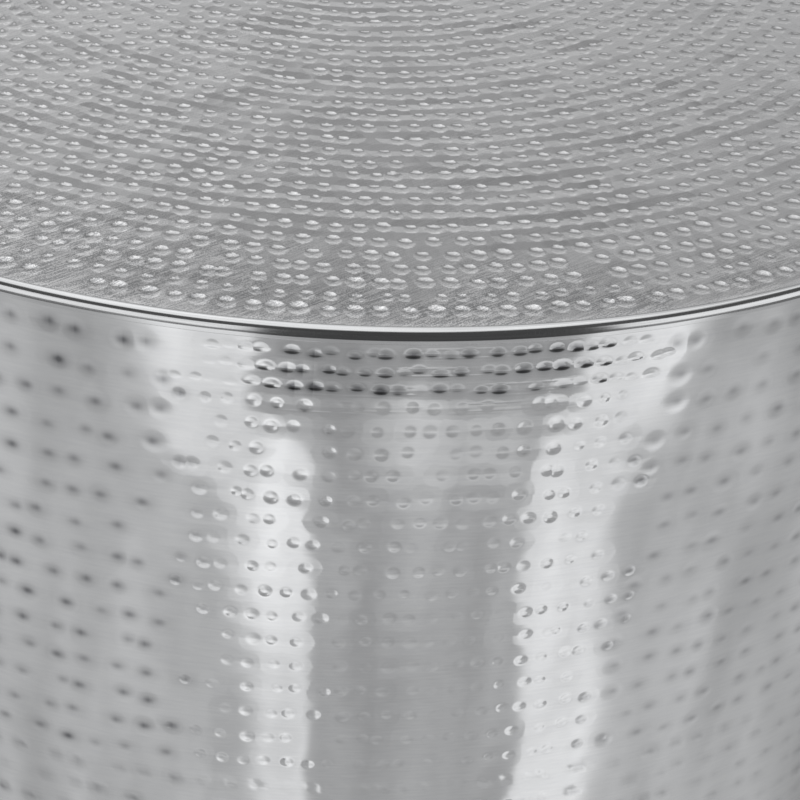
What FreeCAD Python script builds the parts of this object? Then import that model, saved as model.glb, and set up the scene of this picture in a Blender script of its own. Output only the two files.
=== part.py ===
import FreeCAD, Part

import math
import os

# A drum side table: a hammered sheet drum under a hammered top, both stiffened by wired edges,
# around a hidden frame of two angle hoops and four uprights on rubber feet.
# Millimetres, +Z up. The origin is on the floor, on the drum's axis. The drum's seam faces +Y.

# Overall size
TABLE_HEIGHT = 508.0  # floor to table top
RIM_DIAMETER = 406.0  # over the bead of the top

# Hammered sheet and its wired edges
SHEET = 0.8
WIRE_DIAMETER = 1.3
WIRE_CLEARANCE = 0.15  # between a wire and the sheet rolled round it
BEAD_OVERHANG = 1.5  # how far the bead stands out past the wall
FLOOR_GAP = 3.0  # under the drum's hem
JOGGLE_HEIGHT = 3.0  # of the step that brings the hem under the wall
SEAM_GAP = 0.3  # between the two edges of the drum's sheet
STRAP_WIDTH = 24.0
STRAP_THICKNESS = 0.8
SOLDER_FILM = 0.15  # between the strap and the wall
STRAP_END_GAP = 1.0  # from the strap's ends to the hoops

# Board under the top
BOARD_THICKNESS = 15.0
BOARD_CLEARANCE = 0.3  # to the rolled edge around it

# Angle hoops, rolled from one section
LEG = 25.0
ANGLE_THICKNESS = 3.0
RING_CLEARANCE = 0.4  # from the base hoop down to the joggle

# Uprights
STAY_COUNT = 4
STAY_WIDTH = 20.0
STAY_THICKNESS = 3.0
FIRST_STAY_ANGLE = 45.0
RIVET_DIAMETER = 4.0
RIVET_HEAD_DIAMETER = 7.5
RIVET_HEAD_HEIGHT = 2.2
RIVET_SINK = 0.3  # how far a rivet's tail stays inside the hoop's outer face

# Screws into the board
BOARD_SCREW_COUNT = 8
FIRST_BOARD_SCREW_ANGLE = 22.5
BOARD_SCREW_DIAMETER = 4.0
BOARD_SCREW_BITE = 11.0  # length in the board
BOARD_SCREW_HEAD_DIAMETER = 8.0
BOARD_SCREW_HEAD_HEIGHT = 2.6

# Feet
FOOT_COUNT = 4
FIRST_FOOT_ANGLE = 0.0
FOOT_DIAMETER = 20.0
FOOT_TAPER = 1.0  # how much smaller the radius is at the floor
FOOT_RECESS_DIAMETER = 9.5
FOOT_RECESS_DEPTH = 4.0
FOOT_SCREW_DIAMETER = 4.0
FOOT_SCREW_HEAD_DIAMETER = 8.0
FOOT_SCREW_HEAD_HEIGHT = 2.4
FOOT_SCREW_TAIL = 2.0  # thread that shows past the nut
WASHER_DIAMETER = 9.0
WASHER_THICKNESS = 0.8
NUT_ACROSS_FLATS = 7.0
NUT_HEIGHT = 3.2
HOLE_CLEARANCE = 0.1  # on the radius of every drilled hole

# The bead and the hem are curls of the same section
CURL_INNER = WIRE_DIAMETER / 2 + WIRE_CLEARANCE
CURL_OUTER = CURL_INNER + SHEET
CURL_RADIUS = RIM_DIAMETER / 2 - CURL_OUTER  # from the drum's axis to the wire
BEAD_Z = TABLE_HEIGHT - CURL_OUTER
HEM_Z = FLOOR_GAP + CURL_OUTER

WALL_OUTER = RIM_DIAMETER / 2 - BEAD_OVERHANG
WALL_INNER = WALL_OUTER - SHEET
WALL_TOP = TABLE_HEIGHT - 2 * CURL_OUTER  # the bead stands on the wall's edge
JOGGLE_TOP = HEM_Z + JOGGLE_HEIGHT

BOARD_RADIUS = CURL_RADIUS - CURL_OUTER - BOARD_CLEARANCE
BOARD_TOP = TABLE_HEIGHT - SHEET
BOARD_BOTTOM = BOARD_TOP - BOARD_THICKNESS

LEG_INNER = WALL_INNER - LEG
LEG_MIDDLE = WALL_INNER - (LEG + ANGLE_THICKNESS) / 2  # middle of the flat part of the level leg
STAY_OUTER = WALL_INNER - ANGLE_THICKNESS
STAY_INNER = STAY_OUTER - STAY_THICKNESS
BASE_RING_BOTTOM = JOGGLE_TOP + RING_CLEARANCE
BASE_RING_TOP = BASE_RING_BOTTOM + LEG
SUPPORT_RING_BOTTOM = BOARD_BOTTOM - LEG

AXIS = FreeCAD.Vector(0, 0, 1)
OUTWARDS = FreeCAD.Vector(1, 0, 0)
ORIGIN = FreeCAD.Vector(0, 0, 0)
BACK_ANGLE = 90.0  # +Y


def at(radius, z):
    """A point of a section, by its distance from the drum's axis and its height."""
    return FreeCAD.Vector(radius, 0, z)


def line(start, end):
    return Part.LineSegment(start, end).toShape()


def arc(centre, radius, start_angle, end_angle):
    """An arc in the section plane from one angle to another, in degrees, 0 being outwards and 90 up."""
    angles = (start_angle, (start_angle + end_angle) / 2, end_angle)
    points = [
        centre + at(radius * math.cos(math.radians(a)), radius * math.sin(math.radians(a)))
        for a in angles
    ]
    return Part.Arc(*points).toShape()


def turned(edges):
    """The solid that a closed section sweeps round the drum's axis."""
    return Part.Face(Part.Wire(edges)).revolve(ORIGIN, AXIS, 360)


def turned_polygon(points):
    """The same, for a section with straight sides only."""
    return Part.Face(Part.makePolygon(points + points[:1])).revolve(ORIGIN, AXIS, 360)


def bar_sector(inner, outer, bottom, top, width, angle):
    """A bar rolled to the drum's curve: width along its outer face, centred at the angle."""
    spread = math.degrees(width / outer)
    corners = [at(inner, bottom), at(outer, bottom), at(outer, top), at(inner, top)]
    bar = Part.Face(Part.makePolygon(corners + corners[:1])).revolve(ORIGIN, AXIS, spread)
    bar.rotate(ORIGIN, AXIS, angle - spread / 2)
    return bar


def round_the_axis(shape, count, first_angle):
    """Copies of a shape, evenly spaced round the drum's axis."""
    copies = []
    for i in range(count):
        copy = shape.copy()
        copy.rotate(ORIGIN, AXIS, first_angle + i * 360.0 / count)
        copies.append(copy)
    return copies


def upright(radius, bottom, top, from_axis):
    """An upright cylinder in the section plane."""
    return Part.makeCylinder(radius, top - bottom, at(from_axis, bottom), AXIS)


def make_top_sheet():
    """The flat disc whose edge is rolled outwards, down and back in round the rim wire."""
    centre = at(CURL_RADIUS, BEAD_Z)
    return turned([
        line(at(0, TABLE_HEIGHT), at(CURL_RADIUS, TABLE_HEIGHT)),
        arc(centre, CURL_OUTER, 90, -180),
        line(at(CURL_RADIUS - CURL_OUTER, BEAD_Z), at(CURL_RADIUS - CURL_INNER, BEAD_Z)),
        arc(centre, CURL_INNER, -180, 90),
        line(at(CURL_RADIUS, BOARD_TOP), at(0, BOARD_TOP)),
        line(at(0, BOARD_TOP), at(0, TABLE_HEIGHT)),
    ])


def make_drum_wall():
    """The rolled sheet: straight wall, step inwards, then the hem curled outwards round the base wire."""
    centre = at(CURL_RADIUS, HEM_Z)
    tube = turned([
        line(at(WALL_INNER, WALL_TOP), at(WALL_OUTER, WALL_TOP)),
        line(at(WALL_OUTER, WALL_TOP), at(WALL_OUTER, JOGGLE_TOP)),
        line(at(WALL_OUTER, JOGGLE_TOP), at(CURL_RADIUS - CURL_INNER, HEM_Z)),
        arc(centre, CURL_INNER, 180, 450),
        line(at(CURL_RADIUS, HEM_Z + CURL_INNER), at(CURL_RADIUS, HEM_Z + CURL_OUTER)),
        arc(centre, CURL_OUTER, 450, 180),
        line(at(CURL_RADIUS - CURL_OUTER, HEM_Z), at(WALL_INNER, JOGGLE_TOP)),
        line(at(WALL_INNER, JOGGLE_TOP), at(WALL_INNER, WALL_TOP)),
    ])
    seam = Part.makeBox(
        SEAM_GAP, RIM_DIAMETER / 2, TABLE_HEIGHT, FreeCAD.Vector(-SEAM_GAP / 2, RIM_DIAMETER / 4, 0)
    )
    return tube.cut(seam)


def make_wire(z):
    return Part.makeTorus(CURL_RADIUS, WIRE_DIAMETER / 2, at(0, z), AXIS)


def make_seam_strap():
    """The strip soldered behind the butt seam, between the two hoops."""
    face = WALL_INNER - SOLDER_FILM
    return bar_sector(
        face - STRAP_THICKNESS,
        face,
        BASE_RING_TOP + STRAP_END_GAP,
        SUPPORT_RING_BOTTOM - STRAP_END_GAP,
        STRAP_WIDTH,
        BACK_ANGLE,
    )


def board_screw_shanks(radius):
    """The shanks of the board screws at the given radius, from under the hoop into the board."""
    shank = upright(radius, BOARD_BOTTOM - ANGLE_THICKNESS, BOARD_BOTTOM + BOARD_SCREW_BITE, LEG_MIDDLE)
    return round_the_axis(shank, BOARD_SCREW_COUNT, FIRST_BOARD_SCREW_ANGLE)


def make_top_board():
    board = Part.makeCylinder(BOARD_RADIUS, BOARD_THICKNESS, at(0, BOARD_BOTTOM), AXIS)
    return board.cut(board_screw_shanks(BOARD_SCREW_DIAMETER / 2 + HOLE_CLEARANCE))


def make_board_screws():
    """Pan-head screws, their heads under the support hoop."""
    under = BOARD_BOTTOM - ANGLE_THICKNESS
    head = upright(BOARD_SCREW_HEAD_DIAMETER / 2, under - BOARD_SCREW_HEAD_HEIGHT, under, LEG_MIDDLE)
    rim = [e for e in head.Edges if e.BoundBox.ZMax < under - BOARD_SCREW_HEAD_HEIGHT / 2]
    heads = round_the_axis(
        head.makeFillet(BOARD_SCREW_HEAD_HEIGHT / 2, rim), BOARD_SCREW_COUNT, FIRST_BOARD_SCREW_ANGLE
    )
    shanks = board_screw_shanks(BOARD_SCREW_DIAMETER / 2)
    return Part.makeCompound([head.fuse(shank) for head, shank in zip(heads, shanks)])


def rivet_holes(z):
    hole = Part.makeCylinder(
        RIVET_DIAMETER / 2 + HOLE_CLEARANCE, WALL_OUTER - STAY_INNER, at(STAY_INNER, z), OUTWARDS
    )
    return round_the_axis(hole, STAY_COUNT, FIRST_STAY_ANGLE)


def rivet_heights():
    """The middle of each hoop's upright leg, clear of its level leg."""
    middle = (LEG - ANGLE_THICKNESS) / 2
    return BASE_RING_TOP - middle, SUPPORT_RING_BOTTOM + middle


def make_support_ring():
    """Angle hoop with its level leg on top, under the board."""
    under = BOARD_BOTTOM - ANGLE_THICKNESS
    hoop = turned_polygon([
        at(LEG_INNER, BOARD_BOTTOM),
        at(WALL_INNER, BOARD_BOTTOM),
        at(WALL_INNER, SUPPORT_RING_BOTTOM),
        at(STAY_OUTER, SUPPORT_RING_BOTTOM),
        at(STAY_OUTER, under),
        at(LEG_INNER, under),
    ])
    screws = board_screw_shanks(BOARD_SCREW_DIAMETER / 2 + HOLE_CLEARANCE)
    return hoop.cut(screws + rivet_holes(rivet_heights()[1]))


def foot_screw_hole(bottom, top):
    return upright(FOOT_SCREW_DIAMETER / 2 + HOLE_CLEARANCE, bottom, top, LEG_MIDDLE)


def make_base_ring():
    """Angle hoop with its level leg below, on the feet."""
    over = BASE_RING_BOTTOM + ANGLE_THICKNESS
    hoop = turned_polygon([
        at(LEG_INNER, BASE_RING_BOTTOM),
        at(WALL_INNER, BASE_RING_BOTTOM),
        at(WALL_INNER, BASE_RING_TOP),
        at(STAY_OUTER, BASE_RING_TOP),
        at(STAY_OUTER, over),
        at(LEG_INNER, over),
    ])
    foot_hole = foot_screw_hole(BASE_RING_BOTTOM, over)
    foot_holes = round_the_axis(foot_hole, FOOT_COUNT, FIRST_FOOT_ANGLE)
    return hoop.cut(foot_holes + rivet_holes(rivet_heights()[0]))


def make_stays():
    """Uprights that stand on the base hoop and reach up to the support hoop's level leg."""
    bottom, top = BASE_RING_BOTTOM + ANGLE_THICKNESS, BOARD_BOTTOM - ANGLE_THICKNESS
    stays = []
    for i in range(STAY_COUNT):
        angle = FIRST_STAY_ANGLE + i * 360.0 / STAY_COUNT
        bar = bar_sector(STAY_INNER, STAY_OUTER, bottom, top, STAY_WIDTH, angle)
        for z in rivet_heights():
            bar = bar.cut(rivet_holes(z))
        stays.append(bar)
    return stays


def make_stay_rivets():
    """Round-headed rivets, heads inside, through an upright and the hoop's upright leg."""
    shank, head = RIVET_DIAMETER / 2, RIVET_HEAD_DIAMETER / 2
    ball_radius = (head**2 + RIVET_HEAD_HEIGHT**2) / (2 * RIVET_HEAD_HEIGHT)
    crown = STAY_INNER - RIVET_HEAD_HEIGHT
    tail = WALL_INNER - RIVET_SINK
    head_spread = math.degrees(math.asin(head / ball_radius))
    rivets = []
    for z in rivet_heights():
        section = [
            arc(at(crown + ball_radius, z), ball_radius, 180, 180 - head_spread),
            line(at(STAY_INNER, z + head), at(STAY_INNER, z + shank)),
            line(at(STAY_INNER, z + shank), at(tail, z + shank)),
            line(at(tail, z + shank), at(tail, z)),
            line(at(tail, z), at(crown, z)),
        ]
        rivet = Part.Face(Part.Wire(section)).revolve(at(0, z), OUTWARDS, 360)
        rivets += round_the_axis(rivet, STAY_COUNT, FIRST_STAY_ANGLE)
    return Part.makeCompound(rivets)


def make_feet():
    """Moulded rubber feet with a recess for the screw's head."""
    radius = FOOT_DIAMETER / 2
    body = Part.makeCone(radius - FOOT_TAPER, radius, BASE_RING_BOTTOM, at(LEG_MIDDLE, 0), AXIS)
    recess = upright(FOOT_RECESS_DIAMETER / 2, 0, FOOT_RECESS_DEPTH, LEG_MIDDLE)
    foot = body.cut([recess, foot_screw_hole(0, BASE_RING_BOTTOM)])
    return round_the_axis(foot, FOOT_COUNT, FIRST_FOOT_ANGLE)


def make_foot_screws():
    nut_top = BASE_RING_BOTTOM + ANGLE_THICKNESS + WASHER_THICKNESS + NUT_HEIGHT
    head_bottom = FOOT_RECESS_DEPTH - FOOT_SCREW_HEAD_HEIGHT
    head = upright(FOOT_SCREW_HEAD_DIAMETER / 2, head_bottom, FOOT_RECESS_DEPTH, LEG_MIDDLE)
    shank = upright(FOOT_SCREW_DIAMETER / 2, FOOT_RECESS_DEPTH, nut_top + FOOT_SCREW_TAIL, LEG_MIDDLE)
    return Part.makeCompound(round_the_axis(head.fuse(shank), FOOT_COUNT, FIRST_FOOT_ANGLE))


def make_foot_washers():
    bottom = BASE_RING_BOTTOM + ANGLE_THICKNESS
    top = bottom + WASHER_THICKNESS
    disc = upright(WASHER_DIAMETER / 2, bottom, top, LEG_MIDDLE)
    washer = disc.cut(foot_screw_hole(bottom, top))
    return Part.makeCompound(round_the_axis(washer, FOOT_COUNT, FIRST_FOOT_ANGLE))


def make_foot_nuts():
    bottom = BASE_RING_BOTTOM + ANGLE_THICKNESS + WASHER_THICKNESS
    corner = NUT_ACROSS_FLATS / math.sqrt(3)
    corners = [
        at(LEG_MIDDLE, bottom) + FreeCAD.Vector(corner * math.cos(a), corner * math.sin(a), 0)
        for a in (math.radians(60 * i) for i in range(6))
    ]
    hexagon = Part.Face(Part.makePolygon(corners + corners[:1])).extrude(AXIS * NUT_HEIGHT)
    nut = hexagon.cut(foot_screw_hole(bottom, bottom + NUT_HEIGHT))
    return Part.makeCompound(round_the_axis(nut, FOOT_COUNT, FIRST_FOOT_ANGLE))


def numbered(name, shapes):
    return {f"{name}_{i}": shape for i, shape in enumerate(shapes, 1)}


def all_nodes():
    return {
        "top_sheet": make_top_sheet(),
        "rim_wire": make_wire(BEAD_Z),
        "drum_wall": make_drum_wall(),
        "base_wire": make_wire(HEM_Z),
        "seam_strap": make_seam_strap(),
        "top_board": make_top_board(),
        "support_ring": make_support_ring(),
        "board_screws": make_board_screws(),
        "base_ring": make_base_ring(),
        **numbered("stay", make_stays()),
        "stay_rivets": make_stay_rivets(),
        **numbered("foot", make_feet()),
        "foot_screws": make_foot_screws(),
        "foot_washers": make_foot_washers(),
        "foot_nuts": make_foot_nuts(),
    }


os.makedirs("parts", exist_ok=True)
for name, shape in all_nodes().items():
    shape.exportStep(f"parts/{name}.step")
    print(name, shape.isValid(), len(shape.Solids), round(shape.Volume, 1))
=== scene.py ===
"""A drum side table of hammered aluminium sheet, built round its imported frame. Metres, Z up, front to -Y."""

import math

import bpy
import numpy as np
from mathutils import Matrix, Vector


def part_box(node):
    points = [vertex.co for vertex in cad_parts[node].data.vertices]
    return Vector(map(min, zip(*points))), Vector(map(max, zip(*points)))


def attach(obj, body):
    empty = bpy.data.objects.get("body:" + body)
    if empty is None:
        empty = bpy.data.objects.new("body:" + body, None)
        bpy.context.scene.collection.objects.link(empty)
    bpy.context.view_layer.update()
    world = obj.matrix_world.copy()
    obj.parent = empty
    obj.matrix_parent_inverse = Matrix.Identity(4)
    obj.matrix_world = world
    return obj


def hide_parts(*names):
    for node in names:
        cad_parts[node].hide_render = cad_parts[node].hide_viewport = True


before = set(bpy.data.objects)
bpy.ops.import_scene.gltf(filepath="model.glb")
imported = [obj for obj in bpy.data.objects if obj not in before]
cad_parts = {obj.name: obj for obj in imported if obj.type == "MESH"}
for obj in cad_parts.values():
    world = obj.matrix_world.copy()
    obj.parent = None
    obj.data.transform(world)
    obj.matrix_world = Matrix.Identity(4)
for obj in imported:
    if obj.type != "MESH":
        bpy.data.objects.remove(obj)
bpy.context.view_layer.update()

# ---------------------------------------------------------------- camera
# A long lens close to the front rim, looking down over the near half of the top and the upper wall. It
# points a little to the right and leans by about four degrees.

scene = bpy.context.scene
scene.view_settings.view_transform = "Standard"

LENS = 93.5
EYE = Vector((-0.05136, -0.52525, 0.73148))
SIGHT_RIGHT = Vector((0.99316, -0.09575, 0.06680))
SIGHT_UP = Vector((0.00347, 0.59617, 0.80286))
SIGHT_AHEAD = Vector((0.11670, 0.79713, -0.59243))

camera = bpy.data.objects.new("camera", bpy.data.cameras.new("camera"))
camera.data.lens = LENS
camera.data.clip_start = 0.01
camera.location = EYE
camera.rotation_euler = Matrix((SIGHT_RIGHT, SIGHT_UP, -SIGHT_AHEAD)).transposed().to_euler()
scene.collection.objects.link(camera)
scene.camera = camera

# ---------------------------------------------------------------- hammered top
# The top is 0.8 mm aluminium sheet glued flat on its board. It was planished from above with a small
# round punch, ring after ring from the rim inwards: each blow left a bowl with a narrow lip, and the
# sheet sank along each ring into a furrow that runs on from mark to mark.

MM = 0.001
TURN = 2 * math.pi
rng = np.random.default_rng(11)

top_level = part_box("top_sheet")[1][2]
rim_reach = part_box("top_sheet")[1][0]

TOP_EDGE = 201.1 * MM
RING_FIRST = 196.3 * MM
RING_PITCH = 5.15 * MM
BLOW_PITCH = 5.0 * MM
BLOW_REACH = 6 * MM  # no blow moves the sheet further off than this
LIP_END = -1.5  # where a bowl's rounded lip has run out: 1 is its middle and 0 its edge
SHALLOWEST = 0.12  # the lightest blow, as a share of the usual one
SMALL_RING = 12  # a ring of so few blows has none missed


def scatter(size, share):
    """Random shares about zero, held within two and a half times the given one."""
    return share * np.clip(rng.normal(size=size), -2.5, 2.5)


def wrapped(angle):
    """An angle brought within half a turn either side of the front."""
    return (angle + math.pi) % TURN - math.pi


def rising(value, start, width):
    """0 up to the start, then evenly up to 1 over the width, and 1 beyond."""
    return np.clip((value - start) / width, 0, 1)


def blows(angles, level, wander, mark, depth, lip, reach, furrow, fade, back=0.0, uneven=0.1, skew=0.0):
    """One row of punch marks sorted by angle, no two alike. Columns: angle, level, mark radius, mark depth,
    lip softness, the furrow's reach to either side, its depth, how far along the row it fades out, how far
    below the mark's level its middle lies, and how much the mark is squeezed upright."""
    angles = np.sort(wrapped(angles))
    size = len(angles)
    sizes = 1 + scatter(size, 0.07)
    return np.stack([
        angles,
        level + scatter(size, wander),
        mark * sizes,
        depth * sizes * np.maximum(1 + scatter(size, uneven), SHALLOWEST),
        np.full(size, lip),
        reach * (1 + scatter(size, 0.08)),
        furrow * (1 + scatter(size, 0.28)),
        fade * (1 + scatter(size, 0.08)),
        np.full(size, back),
        np.full(size, skew),
    ], axis=1)


ANGLE, LEVEL, MARK, DEPTH, FURROW = 0, 1, 2, 3, 6  # columns of a row


def round_the_ring(radius, pitch, jitter, missed):
    """Angles of the blows of one ring: even steps with a random start, each off by a share of a step, and
    a share of them missed."""
    count = max(3, round(TURN * radius / pitch))
    steps = np.arange(count) + scatter(count, jitter) + rng.uniform()
    return (steps * TURN / count)[rng.random(count) >= missed * (count > SMALL_RING)]


def blows_near(angle, level, rows):
    """For each row that reaches the levels, twice: its order, the slice of levels within reach, and the
    columns of the blow that comes next to each angle, first the one after it and then the one before."""
    for order, row in enumerate(rows):
        near = np.flatnonzero(np.abs(level - row[:, LEVEL].mean()) < BLOW_REACH)
        if not len(near):
            continue
        after = np.searchsorted(row[:, ANGLE], wrapped(angle))
        for before in (0, 1):
            yield order, slice(near[0], near[-1] + 1), row[(after - before) % len(row)].T


def driven_in(angle, level, arm, rows):
    """How deep the sheet is driven in at each level (down) and angle (across), arm being the radius there.
    Each blow leaves a bowl, depth x (1 - (distance / mark radius) to the power 2.4), whose edge is rounded
    off into a lip by a hyperbola. A squeezed bowl is lower than it is wide, and steeper below its middle.
    Each blow also leaves a furrow with two straight slopes, which fades along the row with the fourth
    power of the distance. Of overlapping bowls, and of overlapping furrows, the deeper stays, and the two
    add up."""
    furrows = np.zeros((len(level), len(angle)))
    bowls = np.zeros((len(level), len(angle)))
    for _, part, blow in blows_near(angle, level, rows):
        at, height, mark, depth, lip, reach, furrow, fade, back, skew = blow
        aside = wrapped(angle - at) * arm[part, None]
        off = level[part, None] - height
        squeezed = off * (1 + skew * (1.5 - np.tanh(2 * off / mark)))
        inside = 1 - ((aside ** 2 + squeezed ** 2) / mark ** 2) ** 1.2
        rounded = inside + np.sqrt(inside ** 2 + lip ** 2)
        run_out = LIP_END + np.sqrt(LIP_END ** 2 + lip ** 2)
        bowl = np.where(inside > LIP_END, depth * (rounded - run_out) / 2, 0)
        dip = furrow * (1 - np.abs(off + back) / reach - (aside / fade) ** 4)
        bowls[part] = np.maximum(bowls[part], bowl)
        furrows[part] = np.maximum(furrows[part], dip)
    return furrows + bowls


def swell_waves(count, shortest, longest, slope):
    """Slow waves of a sheet, each in its own direction: radians a metre along either axis, height and start.
    All are equally steep, so the height is slope x length over a whole turn."""
    length = rng.uniform(shortest, longest, count)
    way = rng.uniform(0, math.pi, count)
    return np.stack([
        TURN / length * np.cos(way), TURN / length * np.sin(way), slope * length / TURN,
        rng.uniform(0, TURN, count)], axis=1)


def swell(first, second, waves):
    """Sum of sine waves over two coordinates of the sheet in metres."""
    return sum(height * np.sin(along * first + across * second + start)
               for along, across, height, start in waves)


def quads(down, across):
    """Faces of a grid of points stored row by row, as four corners each."""
    corner = np.arange(down * across).reshape(down, across)
    round_a_face = corner[:-1, :-1], corner[1:, :-1], corner[1:, 1:], corner[:-1, 1:]
    return np.stack(round_a_face, axis=-1).reshape(-1, 4)


def snapped(edge, coarse):
    """An edge moved onto the straight lines between every coarse-th of its points, where a coarser patch
    joins it."""
    at = np.arange(len(edge))
    return np.stack([np.interp(at, at[::coarse], edge[::coarse, axis]) for axis in range(3)], axis=1)


def snap_edges(points, normals, joins):
    """Snaps the first row, last row, first column and last column to the neighbours' coarser steps."""
    for field in (points, normals):
        for edge, coarse in zip((np.s_[0], np.s_[-1], np.s_[:, 0], np.s_[:, -1]), joins):
            if coarse > 1:
                field[edge] = snapped(field[edge], coarse)


def piece(name, points, normals, faces, material, node):
    """One mesh from arrays, smooth, with its own normals, that stands for a node of the frame.
    faces is a list of arrays of corners, each with as many columns as its faces have corners."""
    mesh = bpy.data.meshes.new(name)
    corners = np.concatenate([group.ravel() for group in faces]).astype(np.int32)
    sizes = np.concatenate([np.full(len(group), group.shape[1]) for group in faces])
    mesh.vertices.add(len(points))
    mesh.vertices.foreach_set("co", points.astype(np.float32).ravel())
    mesh.loops.add(len(corners))
    mesh.loops.foreach_set("vertex_index", corners)
    mesh.polygons.add(len(sizes))
    mesh.polygons.foreach_set("loop_start", (np.cumsum(sizes) - sizes).astype(np.int32))
    mesh.polygons.foreach_set("use_smooth", np.ones(len(sizes), dtype=bool))
    mesh.update(calc_edges=True)
    mesh.validate()
    mesh.normals_split_custom_set_from_vertices(normals)
    mesh.materials.append(material)
    made = bpy.data.objects.new(name, mesh)
    scene.collection.objects.link(made)
    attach(made, "root")
    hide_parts(node)
    return made


def node(tree, kind, inputs, **settings):
    """Adds one shader node. Settings are its own properties, and inputs its sockets by name or number, each
    with a value or a link."""
    made = tree.nodes.new(kind)
    for name, value in settings.items():
        setattr(made, name, value)
    for name, value in inputs.items():
        if isinstance(value, bpy.types.Node):
            value = value.outputs[0]
        if isinstance(value, bpy.types.NodeSocket):
            tree.links.new(value, made.inputs[name])
        else:
            made.inputs[name].default_value = value
    return made


def linear(code):
    """An sRGB hex colour as linear red, green, blue and alpha."""
    parts = [int(code[i:i + 2], 16) / 255 for i in (1, 3, 5)]
    return [c / 12.92 if c <= 0.04045 else ((c + 0.055) / 1.055) ** 2.4 for c in parts] + [1]


def new_material(name):
    """An empty node material: itself and its tree."""
    made = bpy.data.materials.new(name)
    made.use_nodes = True
    made.node_tree.nodes.clear()
    return made, made.node_tree


def metal(tree, dark, light, share, roughness, bump):
    """The last nodes of a bare metal: a tone between two colours, each hex or linked, its roughness and its
    bump."""
    ends = [linear(end) if isinstance(end, str) else end for end in (dark, light)]
    tone = node(tree, "ShaderNodeMix", {0: share, 6: ends[0], 7: ends[1]}, data_type="RGBA")
    skin = node(tree, "ShaderNodeBsdfPrincipled", {
        "Base Color": tone.outputs[2], "Metallic": 1.0, "Roughness": roughness, "Normal": bump})
    node(tree, "ShaderNodeOutputMaterial", {"Surface": skin})


# Planished aluminium of the top: bright between the marks, with a satin grain of fine slanting scratches
# near the rim, where the sheet was rubbed down after the edge was rolled. The scratches are drawn about
# 0.4 mm wide and 5 mm long, coarser than real ones, so that they show.
top_metal, tree = new_material("planished_aluminium_top")
place = node(tree, "ShaderNodeTexCoord", {}).outputs["Object"]
slanted = node(tree, "ShaderNodeMapping", {"Vector": place, "Rotation": (0, 0, math.radians(-32))})
drawn = node(tree, "ShaderNodeMapping", {"Vector": slanted, "Scale": (210, 2300, 210)})
lines = node(tree, "ShaderNodeTexNoise", {"Vector": drawn, "Scale": 1.0, "Detail": 2.0})
grain = node(tree, "ShaderNodeTexNoise", {"Vector": place, "Scale": 3300.0, "Detail": 1.0})
scratches = node(tree, "ShaderNodeMath", {0: lines, 1: grain}, operation="ADD")
cloud = node(tree, "ShaderNodeTexNoise", {"Vector": place, "Scale": 70.0, "Detail": 3.0})
flat = node(tree, "ShaderNodeVectorMath", {0: place, 1: (1, 1, 0)}, operation="MULTIPLY")
reach = node(tree, "ShaderNodeVectorMath", {0: flat}, operation="LENGTH").outputs["Value"]
leftward = node(tree, "ShaderNodeSeparateXYZ", {0: place}).outputs["X"]
leaning = node(tree, "ShaderNodeMath", {0: leftward, 1: -0.16, 2: reach}, operation="MULTIPLY_ADD")
near_rim = node(tree, "ShaderNodeMapRange", {
    "Value": leaning, "From Min": 172 * MM, "From Max": 202 * MM, "To Min": 0.1, "To Max": 1.0})
worn = node(tree, "ShaderNodeMapRange", {"Value": cloud, "From Min": 0.42, "From Max": 0.6, "To Min": 0.35})
rubbed = node(tree, "ShaderNodeMath", {0: near_rim, 1: worn}, operation="MULTIPLY")
centred = node(tree, "ShaderNodeMath", {0: scratches, 1: 1.0}, operation="SUBTRACT")
scored = node(tree, "ShaderNodeMath", {0: centred, 1: rubbed}, operation="MULTIPLY")
fine_bump = node(tree, "ShaderNodeBump", {"Height": scored, "Strength": 1.0, "Distance": 0.0045 * MM})
tarnish = node(tree, "ShaderNodeMath", {0: rubbed, 1: -0.16, 2: 0.58}, operation="MULTIPLY_ADD")
shine = node(tree, "ShaderNodeMath", {
    0: scored, 1: 5.6, 2: tarnish}, operation="MULTIPLY_ADD", use_clamp=True)
rolled_edge = node(tree, "ShaderNodeMapRange", {
    "Value": reach, "From Min": 197.2 * MM, "From Max": 200.6 * MM, "To Min": 0.0, "To Max": 0.25})
satin = node(tree, "ShaderNodeMath", {0: rubbed, 1: 0.06, 2: rolled_edge}, operation="MULTIPLY_ADD")
top_rough = node(tree, "ShaderNodeMath", {0: satin, 1: 0.09}, operation="ADD")
metal(tree, "#BCBDBF", "#FBFBFC", shine, top_rough, fine_bump)

# Radius and depth of the marks, of the five rings beside the rim and of all others. Between the outer
# rings the furrows are faint and short, and from the seventh ring inwards they run on.
OUTER_MARKS = ((1.9 * MM, 0.29 * MM), (1.4 * MM, 0.18 * MM)) + 3 * ((1.85 * MM, 0.26 * MM),)
INNER_MARK = (1.7 * MM, 0.23 * MM)

rings = []
for order, radius in enumerate(np.arange(RING_FIRST, RING_PITCH / 2, -RING_PITCH)):
    inward = rising(order, 3.5, 2)
    mark, depth = OUTER_MARKS[order] if order < len(OUTER_MARKS) else INNER_MARK
    pitch = BLOW_PITCH * (1 + scatter(None, 0.05))
    angles = round_the_ring(radius, pitch, jitter=0.12, missed=0.015)
    middle = radius + scatter(None, 0.15 * MM)
    row = blows(angles, middle, 0.2 * MM, mark, depth, lip=0.045, reach=2.7 * MM,
                furrow=(0.04 + 0.115 * inward) * MM, fade=(2.8 + 2.4 * inward) * MM, back=1.1 * MM)
    # The marks are up to a tenth larger at the sides, and each furrow deepens and fades a few times round.
    row[:, MARK:DEPTH + 1] *= 1 + 0.1 * np.abs(np.sin(row[:, :1]))
    row[:, FURROW] *= 0.78 + 0.3 * np.sin(row[:, ANGLE] * rng.integers(4, 14) + rng.uniform(0, TURN))
    rings.append(row)
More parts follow.
